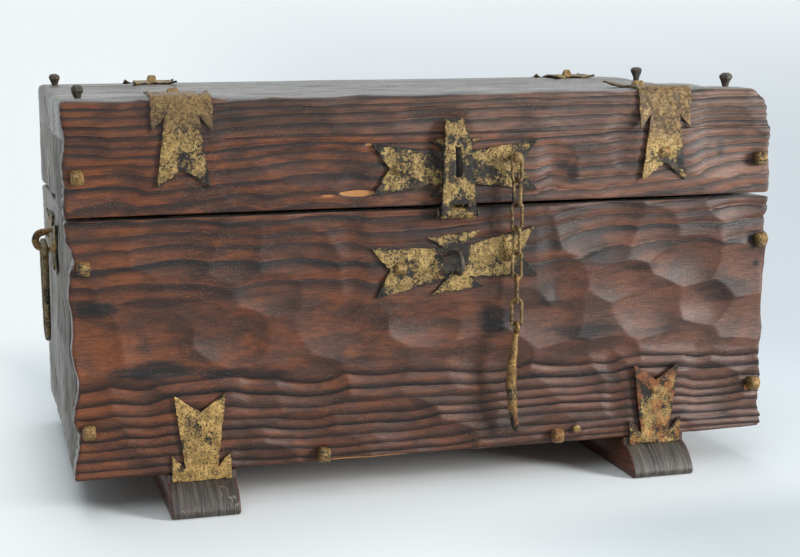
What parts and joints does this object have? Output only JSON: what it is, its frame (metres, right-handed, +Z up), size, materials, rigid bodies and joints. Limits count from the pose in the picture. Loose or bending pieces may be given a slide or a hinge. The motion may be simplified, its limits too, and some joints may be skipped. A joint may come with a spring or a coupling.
{
  "type": "coffer chest",
  "caption": "Low wooden coffer on two runners, with a hinged box lid, a hasp over a staple, a locking peg on a chain and a drop handle at each end.",
  "frame": {"origin": "on the floor under the middle of the chest", "axes": "+X to the right seen from the front, along the chest; +Y from the front to the back; +Z up"},
  "size_m": [0.66, 0.4, 0.3564],
  "materials": {
    "chest_wood": "dark red-brown stained pine with a worn varnish",
    "runner_wood": "nearly black, worn and scratched",
    "inner_wood": "plain brown stained wood",
    "gilt_iron": "flaking gold paint over dark hammered sheet iron",
    "dark_iron": "dark forged iron with worn gold paint",
    "chain_iron": "grey-brown forged iron with traces of gold"
  },
  "bodies": {
    "base": {"base_front_board": "chest_wood", "base_back_board": "chest_wood", "base_left_end_board": "chest_wood", "base_right_end_board": "chest_wood", "bottom_board": "inner_wood", "left_runner": "runner_wood", "right_runner": "runner_wood", "left_foot_bracket": "gilt_iron", "right_foot_bracket": "gilt_iron", "catch_plate": "gilt_iron", "left_handle_plate": "gilt_iron", "right_handle_plate": "gilt_iron", "left_hinge_plate": "gilt_iron", "right_hinge_plate": "gilt_iron", "catch_staple": "dark_iron", "left_handle_staple": "dark_iron", "right_handle_staple": "dark_iron", "left_hinge_pin": "dark_iron", "right_hinge_pin": "dark_iron", "base_front_nails": "dark_iron", "base_back_nails": "dark_iron", "bottom_plug_nail": "dark_iron", "hinge_plate_nails": "dark_iron", "foot_bracket_nails": "dark_iron", "catch_plate_nails": "dark_iron", "left_handle_nails": "dark_iron", "right_handle_nails": "dark_iron"},
    "lid": {"lid_top_board": "chest_wood", "lid_front_board": "chest_wood", "lid_back_board": "chest_wood", "lid_left_end_board": "chest_wood", "lid_right_end_board": "chest_wood", "left_lid_strap": "gilt_iron", "right_lid_strap": "gilt_iron", "left_hinge_strap": "gilt_iron", "right_hinge_strap": "gilt_iron", "hasp_plate": "gilt_iron", "hasp_pin": "dark_iron", "lid_front_nails": "dark_iron", "lid_back_nails": "dark_iron", "lid_strap_nails": "dark_iron", "hinge_strap_nails": "dark_iron", "hasp_plate_nail": "dark_iron", "chain_nail": "dark_iron", "lid_corner_studs": "dark_iron"},
    "hasp": {"hasp": "gilt_iron"},
    "left_loop": {"left_handle_loop": "dark_iron"},
    "right_loop": {"right_handle_loop": "dark_iron"},
    "link_1": {"chain_link_1": "chain_iron"},
    "link_2": {"chain_link_2": "chain_iron"},
    "link_3": {"chain_link_3": "chain_iron"},
    "link_4": {"chain_link_4": "chain_iron"},
    "link_5": {"chain_link_5": "chain_iron"},
    "link_6": {"chain_link_6": "chain_iron"},
    "link_7": {"chain_link_7": "chain_iron"},
    "peg": {"locking_peg": "chain_iron"}
  },
  "joints": [
    {"name": "lid_hinge", "type": "hinge", "parent": "base", "child": "lid", "pos_m": [0, 0.18035, 0.2467], "axis": [-1, 0, 0], "range_deg": [0, 110]},
    {"name": "hasp_hinge", "type": "hinge", "parent": "lid", "child": "hasp", "pos_m": [0.015, -0.18075, 0.242], "axis": [1, 0, 0], "range_deg": [0, 172]},
    {"name": "left_loop_hinge", "type": "hinge", "parent": "base", "child": "left_loop", "pos_m": [-0.31925, 0, 0.20685], "axis": [0, 1, 0], "range_deg": [0, 165]},
    {"name": "right_loop_hinge", "type": "hinge", "parent": "base", "child": "right_loop", "pos_m": [0.31925, 0, 0.20685], "axis": [0, -1, 0], "range_deg": [0, 165]},
    {"name": "link_1_swing", "type": "hinge", "parent": "lid", "child": "link_1", "pos_m": [0.066, -0.1882, 0.2875], "axis": [0, -1, 0], "range_deg": [-6, 20]},
    {"name": "link_2_lift", "type": "hinge", "parent": "link_1", "child": "link_2", "pos_m": [0.066, -0.1882, 0.2671], "axis": [1, 0, 0], "range_deg": [-40, 0]},
    {"name": "link_3_swing", "type": "hinge", "parent": "link_2", "child": "link_3", "pos_m": [0.066, -0.1882, 0.2463], "axis": [0, -1, 0], "range_deg": [-6, 20]},
    {"name": "link_4_lift", "type": "hinge", "parent": "link_3", "child": "link_4", "pos_m": [0.066, -0.1882, 0.2255], "axis": [1, 0, 0], "range_deg": [0, 66]},
    {"name": "link_5_swing", "type": "hinge", "parent": "link_4", "child": "link_5", "pos_m": [0.066, -0.1882, 0.2047], "axis": [0, -1, 0], "range_deg": [-6, 20]},
    {"name": "link_6_lift", "type": "hinge", "parent": "link_5", "child": "link_6", "pos_m": [0.066, -0.1882, 0.1839], "axis": [1, 0, 0], "range_deg": [-40, 0]},
    {"name": "link_7_swing", "type": "hinge", "parent": "link_6", "child": "link_7", "pos_m": [0.066, -0.1882, 0.1631], "axis": [0, -1, 0], "range_deg": [-6, 20]},
    {"name": "peg_lift", "type": "hinge", "parent": "link_7", "child": "peg", "pos_m": [0.066, -0.1882, 0.1423], "axis": [1, 0, 0], "range_deg": [-40, 0]}
  ],
  "couplings": [
    {"joint": "link_4_lift", "follows": "lid_hinge", "ratio": 0.6}
  ]
}
